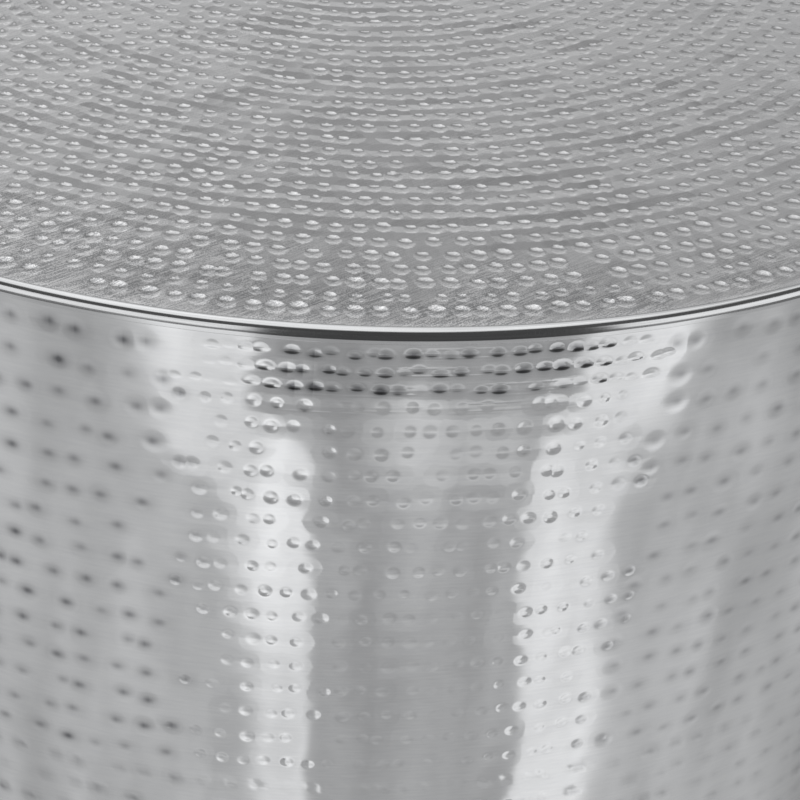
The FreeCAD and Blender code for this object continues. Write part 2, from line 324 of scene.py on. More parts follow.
top_waves = swell_waves(16, 9 * MM, 34 * MM, 0.0065)
top_swell = np.abs(top_waves[:, 2]).sum() * 0.35

EDGE_BLEND = 1.0 * MM
DEEPEST = 0.72 * MM  # less than the sheet is thick


def top_surface(angle, radius):
    """The sheet's upper face at each radius and angle: level, less what the blows drove in and its
    unevenness, both of which end at its edge."""
    x, y = radius[:, None] * np.sin(angle), -radius[:, None] * np.cos(angle)
    deep = driven_in(angle, radius, radius, rings) + top_swell + swell(x, y, top_waves)
    deep *= rising(TOP_EDGE - radius, 0, EDGE_BLEND)[:, None]
    return np.stack([x, y, top_level - np.clip(deep, 0, DEEPEST)], axis=-1)


def with_normals(surface, angle, level, step_angle, step_level):
    """Points of a surface and its normals, from the cross product of small steps either way."""
    points = surface(angle, level)
    along = surface(angle + step_angle, level) - surface(angle - step_angle, level)
    down = surface(angle, level + step_level) - surface(angle, level - step_level)
    normals = np.cross(down, along)
    return points, normals / np.linalg.norm(normals, axis=-1, keepdims=True)


# The sheet is cut into patches, finest at the front. A column is a quarter of a degree, and where a
# patch joins a coarser one, its edge is moved onto that one's lines.
TOP_COLUMNS = 1440
TOP_NORMAL_STEP = 0.05 * MM
FIRST_COLUMN, LAST_COLUMN = -188, 220
CENTRE_HOLE = 0.4 * MM
TOP_PATCHES = (
    # name, outer and inner radius, rows, faces per column, first and last column, coarseness of the joins
    ("top_front_left", TOP_EDGE, 120 * MM, 190, 2, FIRST_COLUMN, 16, (1, 2, 2, 1)),
    ("top_front_right", TOP_EDGE, 120 * MM, 190, 2, 16, LAST_COLUMN, (1, 2, 1, 2)),
    ("top_back_right", TOP_EDGE, 120 * MM, 95, 1, LAST_COLUMN, 736, (1, 2, 1, 1)),
    ("top_back_left", TOP_EDGE, 120 * MM, 95, 1, 736, TOP_COLUMNS + FIRST_COLUMN, (1, 2, 1, 1)),
    ("top_middle_front", 120 * MM, 60 * MM, 140, 1, FIRST_COLUMN, LAST_COLUMN, (1, 4, 2, 2)),
    ("top_middle_back", 120 * MM, 60 * MM, 70, 0.5, LAST_COLUMN, TOP_COLUMNS + FIRST_COLUMN, (1, 2, 1, 1)),
    ("top_inner", 60 * MM, 30 * MM, 35, 0.25, 0, TOP_COLUMNS, (1, 2, 1, 1)),
    ("top_heart", 30 * MM, 15 * MM, 18, 0.125, 0, TOP_COLUMNS, (1, 2, 1, 1)),
    ("top_centre", 15 * MM, CENTRE_HOLE, 18, 0.0625, 0, TOP_COLUMNS, (1, 1, 1, 1)),
)
for name, outer, inner, down, fineness, first, last, joins in TOP_PATCHES:
    across = round((last - first) * fineness)
    angle = np.linspace(first, last, across + 1) * TURN / TOP_COLUMNS
    radius = np.linspace(outer, inner, down + 1)
    points, normals = with_normals(top_surface, angle, radius, TOP_NORMAL_STEP / outer, TOP_NORMAL_STEP)
    snap_edges(points, normals, joins)
    points = points.reshape(-1, 3)
    normals = normals.reshape(-1, 3)
    faces = [quads(down + 1, across + 1)[:, ::-1]]
    if inner == CENTRE_HOLE:
        ring = np.arange(down * (across + 1), len(points))
        centre = np.full(across, len(points))
        faces.append(np.stack([ring[1:], ring[:-1], centre], axis=1)[:, ::-1])
        points = np.concatenate([points, points[ring].mean(axis=0, keepdims=True)])
        normals = np.concatenate([normals, [[0, 0, 1]]])
    piece(name, points, normals, faces, top_metal, "top_sheet")

# ---------------------------------------------------------------- rolled rim
# The top's edge is turned down over a wire and rolled under as far as the wall. It bends tightly at
# first and then ever more gently, to an outer face that is all but upright, and tucks in sharply below.

SHEET = 0.8 * MM
WALL_RADIUS = 201.5 * MM
ROLL_INWARD = 1.6 * MM
RIM_BENDS = (
    # radius in mm, first and last angle in degrees above the radial line
    (1.6, 90, 44), (2.0, 44, 29), (2.6, 29, 14), (3.3, 14, 12.5), (8, 12.5, 9.5), (1, 9.5, 0.5),
    (105, 0.5, 0.1), (0.12, 0.1, -90))
BEND_POINTS = 8
RIM_STEPS = 480


def arc(centre, radius, start, end, steps):
    """Points and outward directions on an arc in the plane of radius and height, with its angles from the
    radial line."""
    turn = np.linspace(start, end, steps)
    way = np.stack([np.cos(turn), np.sin(turn)], axis=1)
    return np.asarray(centre) + radius * way, way


def straight(start, end, way):
    """Two points and their common direction, in the plane of radius and height."""
    return np.array([start, end], dtype=float), np.array([way, way], dtype=float)


def lathe(name, runs, angle, material, node_name):
    """Runs of a profile, each with its points and outward directions, carried round the axis. The outline is
    walked with the metal on its right. A run that ends on the axis is closed there with triangles."""
    around = np.stack([np.sin(angle), -np.cos(angle)], axis=1)
    points, normals, faces, count = [], [], [], 0
    for profile, outward in runs:
        on_axis = profile[-1, 0] == 0
        levels = len(profile) - on_axis
        for field, store in ((profile, points), (outward, normals)):
            store.append(np.concatenate([
                field[:levels, None, :1] * around[None],
                np.repeat(field[:levels, None, 1:], len(angle), axis=1)], axis=-1).reshape(-1, 3))
        faces.append(quads(levels, len(angle)) + count)
        count += levels * len(angle)
        if on_axis:
            ring = np.arange(count - len(angle), count)
            faces.append(np.stack([ring[:-1], np.full(len(ring) - 1, count), ring[1:]], axis=1))
            points.append([[0, 0, profile[-1, 1]]])
            normals.append([[0, 0, outward[-1, 1]]])
            count += 1
    return piece(name, np.concatenate(points), np.concatenate(normals), faces, material, node_name)


# Rolled aluminium of the rim: burnished smooth by the roller, with faint lines along its length, 0.14 mm
# apart.
rim_metal, tree = new_material("rolled_aluminium_rim")
place = node(tree, "ShaderNodeTexCoord", {}).outputs["Object"]
drawn = node(tree, "ShaderNodeMapping", {"Vector": place, "Scale": (60, 60, 7000)})
lines = node(tree, "ShaderNodeTexNoise", {"Vector": drawn, "Scale": 1.0, "Detail": 3.0})
line_bump = node(tree, "ShaderNodeBump", {"Height": lines, "Strength": 1.0, "Distance": 0.002 * MM})
line_rough = node(tree, "ShaderNodeMapRange", {
    "Value": lines, "From Min": 0.3, "From Max": 0.7, "To Min": 0.09, "To Max": 0.16})
metal(tree, "#DEDFE1", "#E8E9EA", lines, line_rough, line_bump)

bead = np.array([[0, top_level]])
bead_way = np.array([[0.0, 1.0]])
for radius, first, last in RIM_BENDS:
    centre = bead[-1] - radius * MM * bead_way[-1]
    run, way = arc(centre, radius * MM, math.radians(first), math.radians(last), BEND_POINTS)
    bead = np.concatenate([bead, run[1:]])
    bead_way = np.concatenate([bead_way, way[1:]])
bead[:, 0] += rim_reach - bead[:, 0].max()
roll_foot = bead[-1, 1]
roll_end = WALL_RADIUS - ROLL_INWARD
bead_inside = bead - SHEET * bead_way
bead_inside = bead_inside[bead_inside[:, 1] > roll_foot + SHEET]
circle = np.linspace(0, TURN, RIM_STEPS + 1)
lathe("rim_bead", [
    straight([TOP_EDGE, top_level], bead[0], [0, 1]),
    (bead, bead_way),
    straight(bead[-1], [roll_end, roll_foot], [0, -1]),
], circle, rim_metal, "top_sheet")
lathe("rim_underside", [
    straight([roll_end, roll_foot], [roll_end, roll_foot + SHEET], [-1, 0]),
    straight([roll_end, roll_foot + SHEET], [bead_inside[-1, 0], roll_foot + SHEET], [0, 1]),
    straight([bead_inside[-1, 0], roll_foot + SHEET], bead_inside[-1], [-1, 0]),
    (bead_inside[::-1], -bead_way[len(bead_inside) - 1::-1]),
    straight(bead_inside[0], [0, top_level - SHEET], [0, -1]),
], circle, rim_metal, "top_sheet")

# ---------------------------------------------------------------- hammered wall
# The wall is the same sheet rolled into a drum. It was planished on a stake before rolling: close, sharp
# blows over the upper front, softer and wider ones over the rest. The strip under the bead was left plain.

WALL_TOP = 504.85 * MM
WALL_FOOT = 7.6 * MM
SEAM_GAP = 0.3 * MM
FIRST_COURSE = 501.6 * MM
CLOSE_DEPTH = 150 * MM
CLOSE_LEFT, CLOSE_RIGHT = -0.225, 0.235  # radians from the front
CLOSE_PITCH = 5.0 * MM
EDGE_COURSES = 3  # the first courses, struck closer together with the edge of the hammer
EDGE_PITCH = 4.0 * MM
EDGE_STEP = 4.3 * MM
CLOSE_STEP = 5.6 * MM
STEP_GROWTH = 0.15 * MM
CREASE_OFFSETS = (-1.4 * MM, -0.8 * MM, 1.1 * MM)
WIDE_PITCH = 7.4 * MM
WIDE_STEP = 8.0 * MM
WIDE_FIRST = 1.8 * MM
WIDE_LAST = 14 * MM
WIDE_BORDER = 0.012
EDGE_BLOW = {"mark": 1.55 * MM, "depth": 0.046 * MM, "lip": 0.7, "skew": 0.6}
CLOSE_BLOW = {"mark": 1.3 * MM, "depth": 0.0245 * MM, "lip": 0.5}
WIDE_BLOW = {"mark": 1.9 * MM, "depth": 0.024 * MM, "lip": 1.2}

courses = []
creases = []
drop = 0
order = 0
while drop < CLOSE_DEPTH:
    at_edge = order < EDGE_COURSES
    left, right = CLOSE_LEFT + scatter(None, 0.02), CLOSE_RIGHT + scatter(None, 0.02)
    count = round((right - left) * WALL_RADIUS / (EDGE_PITCH if at_edge else CLOSE_PITCH))
    angles = left + (right - left) * (np.arange(count) + 0.5 + scatter(count, 0.17)) / count
    angles = angles[rng.random(count) >= 0.05]
    row = blows(angles, FIRST_COURSE - drop, 0.25 * MM, reach=3.4 * MM, furrow=0.012 * MM, fade=4 * MM,
                uneven=0.28, **(EDGE_BLOW if at_edge else CLOSE_BLOW))
    # The marks are faint in the middle and deeper towards the sides, but run out at the first courses' left.
    if at_edge:
        row[:, DEPTH] *= np.clip((row[:, ANGLE] + 0.2) / 0.05, 0.3, 1)
    off_middle = np.abs(row[:, ANGLE] - 0.01)
    row[:, DEPTH] *= 1 + (0.6 if at_edge else 0.95) * rising(off_middle, 0.075, 0.04)
    courses.append(row)
    if order <= EDGE_COURSES:
        for offset in CREASE_OFFSETS:
            depth, width = rng.uniform(0.004, 0.010) * MM, rng.uniform(0.12, 0.2) * MM
            creases.append((FIRST_COURSE - drop + offset, depth, width))
    drop += EDGE_STEP if at_edge else CLOSE_STEP + STEP_GROWTH * (order - EDGE_COURSES)
    order += 1
for drop in np.arange(WIDE_FIRST, FIRST_COURSE - WIDE_LAST, WIDE_STEP):
    angles = wrapped(round_the_ring(WALL_RADIUS, WIDE_PITCH, jitter=0.13, missed=0.04))
    if drop < CLOSE_DEPTH:
        angles = angles[(angles < CLOSE_LEFT - WIDE_BORDER) | (angles > CLOSE_RIGHT + WIDE_BORDER)]
    row = blows(angles, FIRST_COURSE - drop, 0.4 * MM, reach=3.5 * MM, furrow=0.006 * MM, fade=4 * MM,
                uneven=0.22, **WIDE_BLOW)
    row[:, DEPTH] *= 1 + 1.5 * rising(np.abs(row[:, ANGLE]), 0.6, 0.3)
    courses.append(row)
wall_waves = swell_waves(16, 9 * MM, 30 * MM, 0.0016)

SPOT_WIDTH, SPOT_HEIGHT = 1.2 * MM, 0.9 * MM


def painted_mark_shade(angle, height):
    """How much painted shade darkens the sheet at each height and angle. Each mark has a soft spot of
    painted shade, which falls off as e to the power of minus the square of the distance over the spot's size,
    with a wider and fainter one round it. There are spots in the first courses at the front and in all other
    marks away from it, stronger in deep marks and to the left. Of overlapping spots the stronger counts."""
    spots = np.zeros((len(height), len(angle)))
    for order, part, blow in blows_near(angle, height, courses):
        at, level, _, depth = blow[:4]
        far = (wrapped(angle - at) * WALL_RADIUS / SPOT_WIDTH) ** 2
        far = far + ((height[part, None] - level) / SPOT_HEIGHT) ** 2
        if order < EDGE_COURSES:
            share = 1.4 * rising(0.17 - np.abs(at - 0.02), 0, 0.04)
        else:
            share = rising(np.abs(at), 0.2, 0.04)
        strength = share * depth / depth.mean() * np.clip(1.05 - at, 0.8, 1.45)
        spot = strength * (0.62 * np.exp(-far) + 0.38 * np.exp(-far / 5))
        spots[part] = np.maximum(spots[part], spot)
    return spots


def wall_surface(angle, height):
    """The wall's outer face at each height and angle: a cylinder, less what the blows drove in, its
    unevenness, and the fine creases that the edge of the hammer left along the first courses. A crease
    wanders and comes and goes with sine waves along it, and its section is a bell curve."""
    deep = driven_in(angle, height, np.full(len(height), WALL_RADIUS), courses)
    along = angle[None] * WALL_RADIUS
    level = height[:, None]
    fading = rising(WALL_TOP - level, 0, 4 * MM) * rising(level - WALL_FOOT, 0, 8 * MM)
    deep = deep + fading * swell(along, level, wall_waves)
    for at, depth, width in creases:
        wander = 0.12 * MM * np.sin(along * 130 + at * 9000)
        strength = np.clip(0.5 + np.sin(along * 210 + at * 7000) + np.sin(along * 87 + at * 3000), 0, 1.6)
        strength = strength * np.exp(-(along / (19 * MM)) ** 2)
        deep = deep + depth * strength * np.exp(-((level - at - wander) / width) ** 2)
    radius = WALL_RADIUS - deep
    upright = np.repeat(level, len(angle), axis=1)
    return np.stack([radius * np.sin(angle), -radius * np.cos(angle), upright], axis=-1)


# Planished aluminium of the wall: buffed brightest at the front and softer round the sides, with fine
# streaks round the drum from the rolls, 0.6 mm apart so that they show. Painted shade darkens each
# hammer mark towards dark grey in a soft spot.
wall_metal, tree = new_material("planished_aluminium_wall")
place = node(tree, "ShaderNodeTexCoord", {}).outputs["Object"]
drawn = node(tree, "ShaderNodeMapping", {"Vector": place, "Scale": (150, 150, 1600)})
streaks = node(tree, "ShaderNodeTexNoise", {"Vector": drawn, "Scale": 1.0, "Detail": 4.0, "Roughness": 0.6})
cloud = node(tree, "ShaderNodeTexNoise", {"Vector": place, "Scale": 60.0, "Detail": 3.0})
streak_bump = node(tree, "ShaderNodeBump", {"Height": streaks, "Strength": 1.0, "Distance": 0.0002 * MM})
sideways = node(tree, "ShaderNodeMath", {
    0: node(tree, "ShaderNodeSeparateXYZ", {0: place}).outputs["X"]}, operation="ABSOLUTE")
unbuffed = node(tree, "ShaderNodeMapRange", {
    "Value": sideways, "From Min": 70 * MM, "From Max": 110 * MM, "To Min": 0.0, "To Max": 0.09})
buffed = node(tree, "ShaderNodeMapRange", {
    "Value": cloud, "From Min": 0.3, "From Max": 0.7, "To Min": 0.05, "To Max": 0.09})
wall_rough = node(tree, "ShaderNodeMath", {0: unbuffed, 1: buffed}, operation="ADD")
sharpened = node(tree, "ShaderNodeMapRange", {"Value": streaks, "From Min": 0.3, "From Max": 0.7})
streaked_tone = node(tree, "ShaderNodeMix", {
    0: sharpened, 6: linear("#E0E1E3"), 7: linear("#E6E7E8")}, data_type="RGBA")
# Painted shade: the stored spots mix the wall's tone towards dark grey in the hammer marks.
painted_shade_spots = node(tree, "ShaderNodeAttribute", {}, attribute_name="painted_mark_shade").outputs["Fac"]
painted_shade_share = node(tree, "ShaderNodeMath", {0: painted_shade_spots, 1: 0.5}, operation="MULTIPLY", use_clamp=True)
metal(tree, streaked_tone.outputs[2], "#7C7D80", painted_shade_share, wall_rough, streak_bump)

# The wall is cut into patches too, four or five times finer over the upper front. A row and a column
# are about 1.5 mm.
WALL_COLUMNS = 840
WALL_ROWS = 331
FINE_ROWS = 80
WALL_NORMAL_STEP = 0.14 * MM
fine_foot = WALL_TOP - (WALL_TOP - WALL_FOOT) * FINE_ROWS / WALL_ROWS
half_gap = SEAM_GAP / 2 / WALL_RADIUS
WALL_PATCHES = (
    # name, upper and lower edge, rows, faces per column, first and last column, coarseness of the joins
    ("wall_front_left", WALL_TOP, fine_foot, 400, 4, -68, -14, (1, 4, 5, 1)),
    ("wall_front_middle", WALL_TOP, fine_foot, 400, 4, -14, 34, (1, 4, 1, 1)),
    ("wall_front_right", WALL_TOP, fine_foot, 400, 4, 34, 83, (1, 4, 1, 5)),
    ("wall_upper_left", WALL_TOP, fine_foot, 80, 1, -420, -68, (1, 1, 1, 1)),
    ("wall_upper_right", WALL_TOP, fine_foot, 80, 1, 83, 420, (1, 1, 1, 1)),
    ("wall_lower_left", fine_foot, WALL_FOOT, 251, 1, -420, -140, (1, 1, 1, 1)),
    ("wall_lower_front", fine_foot, WALL_FOOT, 251, 1, -140, 140, (1, 1, 1, 1)),
    ("wall_lower_right", fine_foot, WALL_FOOT, 251, 1, 140, 420, (1, 1, 1, 1)),
)
for name, upper, lower, down, fineness, first, last, joins in WALL_PATCHES:
    across = (last - first) * fineness
    angle = np.linspace(first, last, across + 1) * TURN / WALL_COLUMNS
    angle = np.clip(angle, half_gap - math.pi, math.pi - half_gap)
    height = np.linspace(upper, lower, down + 1)
    points, normals = with_normals(
        wall_surface, angle, height, WALL_NORMAL_STEP / WALL_RADIUS, -WALL_NORMAL_STEP)
    snap_edges(points, normals, joins)
    made = piece(name, points.reshape(-1, 3), normals.reshape(-1, 3), [quads(down + 1, across + 1)],
                 wall_metal, "drum_wall")
    # The painted shade of the marks, stored at each point.
    painted_shade_layer = made.data.attributes.new("painted_mark_shade", "FLOAT", "POINT")
    painted_shade_layer.data.foreach_set("value", painted_mark_shade(angle, height).astype(np.float32).ravel())

# ---------------------------------------------------------------- inside and foot of the wall
# Inside, the sheet is the same wall seen from the back. At its foot it steps in and is curled out
# round the base wire, which stiffens the edge and lets it stand just clear of the floor.

HEM_LEVEL = 4.6 * MM
CURL_CENTRE = 201.4 * MM
CURL_RADIUS = 1.6 * MM
CURL_POINTS = 34
wall_inner = WALL_RADIUS - SHEET
curl_middle = (CURL_CENTRE, HEM_LEVEL)
seam_circle = np.linspace(half_gap - math.pi, math.pi - half_gap, RIM_STEPS + 1)

curl_face, curl_way = arc(curl_middle, CURL_RADIUS, 2.5 * math.pi, math.pi, CURL_POINTS)
bore_face, bore_way = arc(curl_middle, CURL_RADIUS - SHEET, math.pi, 2.5 * math.pi, CURL_POINTS)
lathe("hem_inner_face", [
    straight([WALL_RADIUS, WALL_FOOT], bore_face[0], [1, 0]),
    (bore_face, -bore_way),
    straight(bore_face[-1], curl_face[0], [-1, 0]),
], seam_circle, wall_metal, "drum_wall")
lathe("wall_inside", [
    (curl_face, curl_way),
    straight(curl_face[-1], [wall_inner, WALL_FOOT], [-1, 0]),
    straight([wall_inner, WALL_FOOT], [wall_inner, WALL_TOP], [-1, 0]),
    straight([wall_inner, WALL_TOP], [WALL_RADIUS, WALL_TOP], [0, 1]),
], seam_circle, wall_metal, "drum_wall")

# The two cut ends of the sheet, which face each other across the seam at the back.
for name, side in (("seam_edge_left", 1), ("seam_edge_right", -1)):
    turn = side * (math.pi - half_gap)
    height = np.linspace(WALL_TOP, WALL_FOOT, WALL_ROWS + 1)
    outer_line = wall_surface(np.array([turn]), height)[:, 0]
    outward = np.array([math.sin(turn), -math.cos(turn), 0])
    inner_line = wall_inner * outward + height[:, None] * [0, 0, 1]
    outer_curl = bore_face[:, :1] * outward + bore_face[:, 1:] * [0, 0, 1]
    inner_curl = curl_face[::-1, :1] * outward + curl_face[::-1, 1:] * [0, 0, 1]
    points = np.stack([np.concatenate([outer_line, outer_curl]), np.concatenate([inner_line, inner_curl])])
    facing = side * np.array([math.cos(turn), math.sin(turn), 0])
    normals = np.tile(facing, (points.shape[0] * points.shape[1], 1))
    faces = quads(2, points.shape[1])
    piece(name, points.reshape(-1, 3), normals, [faces[:, ::-side]], wall_metal,
          "drum_wall")

# ---------------------------------------------------------------- wires in the rim and the foot
# Two closed rings of galvanised steel wire, rolled into the sheet's edges to stiffen them. They are
# all but hidden, and show only in the hem.

def dress(names, material):
    """Gives frame nodes a material through their own slots."""
    for name in names:
        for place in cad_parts[name].material_slots:
            place.material = material


wire_zinc, tree = new_material("galvanised_steel_wire")
place = node(tree, "ShaderNodeTexCoord", {}).outputs["Object"]
spangle = node(tree, "ShaderNodeTexVoronoi", {"Vector": place, "Scale": 900.0})
grey = node(tree, "ShaderNodeTexNoise", {"Vector": place, "Scale": 300.0, "Detail": 4.0})
wire_rough = node(tree, "ShaderNodeMapRange", {
    "Value": grey, "From Min": 0.3, "From Max": 0.7, "To Min": 0.3, "To Max": 0.5})
wire_bump = node(tree, "ShaderNodeBump", {"Height": grey, "Strength": 1.0, "Distance": 0.01 * MM})
metal(tree, "#8E9296", "#B4B8BB", spangle.outputs["Distance"], wire_rough, wire_bump)
dress(["rim_wire", "base_wire"], wire_zinc)

# ---------------------------------------------------------------- seam strap
# A strip of the same sheet, left unhammered. It is glued and pressed behind the wall's upright butt seam,
# and holds the two cut ends together.

strap_metal, tree = new_material("mill_finish_aluminium")
place = node(tree, "ShaderNodeTexCoord", {}).outputs["Object"]
drawn = node(tree, "ShaderNodeMapping", {"Vector": place, "Scale": (2500, 2500, 40)})
rolled = node(tree, "ShaderNodeTexNoise", {"Vector": drawn, "Scale": 1.0, "Detail": 4.0})
strap_rough = node(tree, "ShaderNodeMapRange", {
    "Value": rolled, "From Min": 0.3, "From Max": 0.7, "To Min": 0.25, "To Max": 0.4})
strap_bump = node(tree, "ShaderNodeBump", {"Height": rolled, "Strength": 1.0, "Distance": 0.004 * MM})
metal(tree, "#C4C6C8", "#DADBDD", rolled, strap_rough, strap_bump)
dress(["seam_strap"], strap_metal)

# ---------------------------------------------------------------- board under the top
# Birch plywood, 15 mm thick, that the thin top is glued to: long grain on its faces, and eleven
# veneers, every second one end on, along its round edge.

VENEER_PAIR = 2.7 * MM

board_wood, tree = new_material("birch_plywood")
place = node(tree, "ShaderNodeTexCoord", {}).outputs["Object"]
along_grain = node(tree, "ShaderNodeMapping", {"Vector": place, "Scale": (9, 220, 220)})
grain = node(tree, "ShaderNodeTexNoise", {
    "Vector": along_grain, "Scale": 1.0, "Detail": 6.0, "Distortion": 0.6})
level = node(tree, "ShaderNodeSeparateXYZ", {0: place}).outputs["Z"]
veneers = node(tree, "ShaderNodeMath", {0: level, 1: TURN / VENEER_PAIR}, operation="MULTIPLY")
plies = node(tree, "ShaderNodeMath", {0: veneers}, operation="SINE")
upright = node(tree, "ShaderNodeSeparateXYZ", {0: node(tree, "ShaderNodeTexCoord", {}).outputs["Normal"]})
on_edge = node(tree, "ShaderNodeMath", {0: upright.outputs["Z"]}, operation="ABSOLUTE")
edge_share = node(tree, "ShaderNodeMath", {0: on_edge, 1: 0.5}, operation="LESS_THAN")
dark_ply = node(tree, "ShaderNodeMath", {0: plies, 1: 0.0}, operation="GREATER_THAN")
end_grain = node(tree, "ShaderNodeMath", {0: dark_ply, 1: edge_share}, operation="MULTIPLY")
face = node(tree, "ShaderNodeMix", {0: grain, 6: linear("#B98F60"), 7: linear("#DDBE92")}, data_type="RGBA")
wood = node(tree, "ShaderNodeMix", {
    0: end_grain, 6: face.outputs[2], 7: linear("#8A6239")}, data_type="RGBA")
grain_bump = node(tree, "ShaderNodeBump", {"Height": grain, "Strength": 1.0, "Distance": 0.05 * MM})
skin = node(tree, "ShaderNodeBsdfPrincipled", {
    "Base Color": wood.outputs[2], "Roughness": 0.62, "Normal": grain_bump})
node(tree, "ShaderNodeOutputMaterial", {"Surface": skin})
dress(["top_board"], board_wood)

# ---------------------------------------------------------------- hoops, stays and rivets
# Two hoops of rolled angle iron carry the board and the feet, with four flat bars between them held by
# round-head rivets. The iron is blackened and oiled, and rust shows through in small patches.

iron, tree = new_material("blackened_iron")
place = node(tree, "ShaderNodeTexCoord", {}).outputs["Object"]
scale_marks = node(tree, "ShaderNodeTexNoise", {"Vector": place, "Scale": 220.0, "Detail": 6.0})
patches = node(tree, "ShaderNodeTexNoise", {"Vector": place, "Scale": 28.0, "Detail": 5.0})
rust_share = node(tree, "ShaderNodeMapRange", {"Value": patches, "From Min": 0.58, "From Max": 0.7})
black = node(tree, "ShaderNodeMix", {
    0: scale_marks, 6: linear("#26272A"), 7: linear("#4A4B4E")}, data_type="RGBA")
tinted = node(tree, "ShaderNodeMix", {
    0: rust_share, 6: black.outputs[2], 7: linear("#5A3A26")}, data_type="RGBA")
bare = node(tree, "ShaderNodeMapRange", {"Value": rust_share, "To Min": 0.75, "To Max": 0.0})
iron_rough = node(tree, "ShaderNodeMapRange", {
    "Value": scale_marks, "From Min": 0.3, "From Max": 0.7, "To Min": 0.38, "To Max": 0.62})
iron_bump = node(tree, "ShaderNodeBump", {"Height": scale_marks, "Strength": 1.0, "Distance": 0.06 * MM})
skin = node(tree, "ShaderNodeBsdfPrincipled", {
    "Base Color": tinted.outputs[2], "Metallic": bare.outputs[0], "Roughness": iron_rough.outputs[0],
    "Normal": iron_bump})
node(tree, "ShaderNodeOutputMaterial", {"Surface": skin})
dress(["support_ring", "base_ring", "stay_1", "stay_2", "stay_3", "stay_4", "stay_rivets"], iron)

# ---------------------------------------------------------------- screws, washers and nuts
# Fixings of zinc-plated steel: wood screws up through the upper hoop into the board, and machine screws
# with washers and nuts that hold the feet.

zinc, tree = new_material("zinc_plated_steel")
place = node(tree, "ShaderNodeTexCoord", {}).outputs["Object"]
plating = node(tree, "ShaderNodeTexNoise", {"Vector": place, "Scale": 600.0, "Detail": 4.0})
zinc_rough = node(tree, "ShaderNodeMapRange", {
    "Value": plating, "From Min": 0.3, "From Max": 0.7, "To Min": 0.2, "To Max": 0.38})
zinc_bump = node(tree, "ShaderNodeBump", {"Height": plating, "Strength": 1.0, "Distance": 0.006 * MM})
metal(tree, "#A9AFB8", "#C8C6BC", plating, zinc_rough, zinc_bump)
dress(["board_screws", "foot_screws", "foot_washers", "foot_nuts"], zinc)

# ---------------------------------------------------------------- feet
# Four turned feet of black rubber under the base hoop, each held by one screw through its middle. They
# keep the metal off the floor.

rubber, tree = new_material("black_rubber")
place = node(tree, "ShaderNodeTexCoord", {}).outputs["Object"]
pores = node(tree, "ShaderNodeTexNoise", {"Vector": place, "Scale": 1800.0, "Detail": 3.0})
dust = node(tree, "ShaderNodeTexNoise", {"Vector": place, "Scale": 120.0, "Detail": 4.0})
dusty = node(tree, "ShaderNodeMapRange", {"Value": dust, "From Min": 0.4, "From Max": 0.8})
black = node(tree, "ShaderNodeMix", {0: dusty, 6: linear("#1B1B1C"), 7: linear("#3A3937")}, data_type="RGBA")
pore_bump = node(tree, "ShaderNodeBump", {"Height": pores, "Strength": 1.0, "Distance": 0.03 * MM})
skin = node(tree, "ShaderNodeBsdfPrincipled", {
    "Base Color": black.outputs[2], "Roughness": 0.72, "Normal": pore_bump})
node(tree, "ShaderNodeOutputMaterial", {"Surface": skin})
dress(["foot_1", "foot_2", "foot_3", "foot_4"], rubber)

# ---------------------------------------------------------------- floor, world and lamps
# A plain pale floor, and two soft lamps that the metal doesn't mirror. What it mirrors is the world: a
# bright ceiling, two tall bright panels either side of a dark front, drapes beyond them, and behind the
# table a pale wall that the top reflects.

FLOOR_HALF = 12.0
floor_mesh = bpy.data.meshes.new("floor")
floor_corners = [(x * FLOOR_HALF, y * FLOOR_HALF, 0) for x, y in ((-1, -1), (1, -1), (1, 1), (-1, 1))]
floor_mesh.from_pydata(floor_corners, [], [(0, 1, 2, 3)])
floor_paint, tree = new_material("pale_floor")
pale = node(tree, "ShaderNodeBsdfDiffuse", {"Color": linear("#E4E3E1")})
node(tree, "ShaderNodeOutputMaterial", {"Surface": pale})
floor_mesh.materials.append(floor_paint)
floor = bpy.data.objects.new("floor", floor_mesh)
scene.collection.objects.link(floor)
floor.visible_glossy = False

world = bpy.data.worlds.new("studio")
scene.world = world
world.use_nodes = True
tree = world.node_tree
tree.nodes.clear()


def by_elevation(stops):
    """Values from straight down to straight up, from (elevation in degrees, value) pairs."""
    ramp = node(tree, "ShaderNodeValToRGB", {"Fac": elevation_share})
    band = ramp.color_ramp
    while len(band.elements) < len(stops):
        band.elements.new(0.5)
    for element, (degrees, value) in zip(band.elements, stops):
        element.position = (degrees + 90) / 180
        element.color = (value, value, value, 1)
    return ramp


def between(left, right, left_soft, right_soft):
    """One from a left to a right azimuth, zero beyond, with its own softness at either border."""
    past_left = node(tree, "ShaderNodeMath", {0: azimuth, 1: left}, operation="SUBTRACT")
    short_of_right = node(tree, "ShaderNodeMath", {0: right, 1: azimuth}, operation="SUBTRACT")
    shares = [node(tree, "ShaderNodeMapRange", {"Value": way_in, "From Min": -soft, "From Max": soft},
                   interpolation_type="SMOOTHSTEP").outputs[0]
              for way_in, soft in ((past_left, left_soft), (short_of_right, right_soft))]
    return node(tree, "ShaderNodeMath", {0: shares[0], 1: shares[1]}, operation="MULTIPLY")


def border(stops):
    """The azimuth of a panel's edge at each elevation, from (elevation, azimuth) pairs in degrees."""
    shares = by_elevation([(degrees, turn / 180 + 0.5) for degrees, turn in stops])
    return node(tree, "ShaderNodeMath", {0: shares, 1: 180.0, 2: -90.0}, operation="MULTIPLY_ADD")


gaze = node(tree, "ShaderNodeTexCoord", {}).outputs["Generated"]
way = node(tree, "ShaderNodeSeparateXYZ", {0: gaze})
rise = node(tree, "ShaderNodeMath", {0: way.outputs["Z"]}, operation="ARCSINE")
elevation_share = node(tree, "ShaderNodeMath", {0: rise, 1: 1 / math.pi, 2: 0.5}, operation="MULTIPLY_ADD")
backward = node(tree, "ShaderNodeMath", {0: way.outputs["Y"], 1: -1.0}, operation="MULTIPLY")
turned = node(tree, "ShaderNodeMath", {0: way.outputs["X"], 1: backward}, operation="ARCTAN2")
azimuth = node(tree, "ShaderNodeMath", {0: turned}, operation="DEGREES")

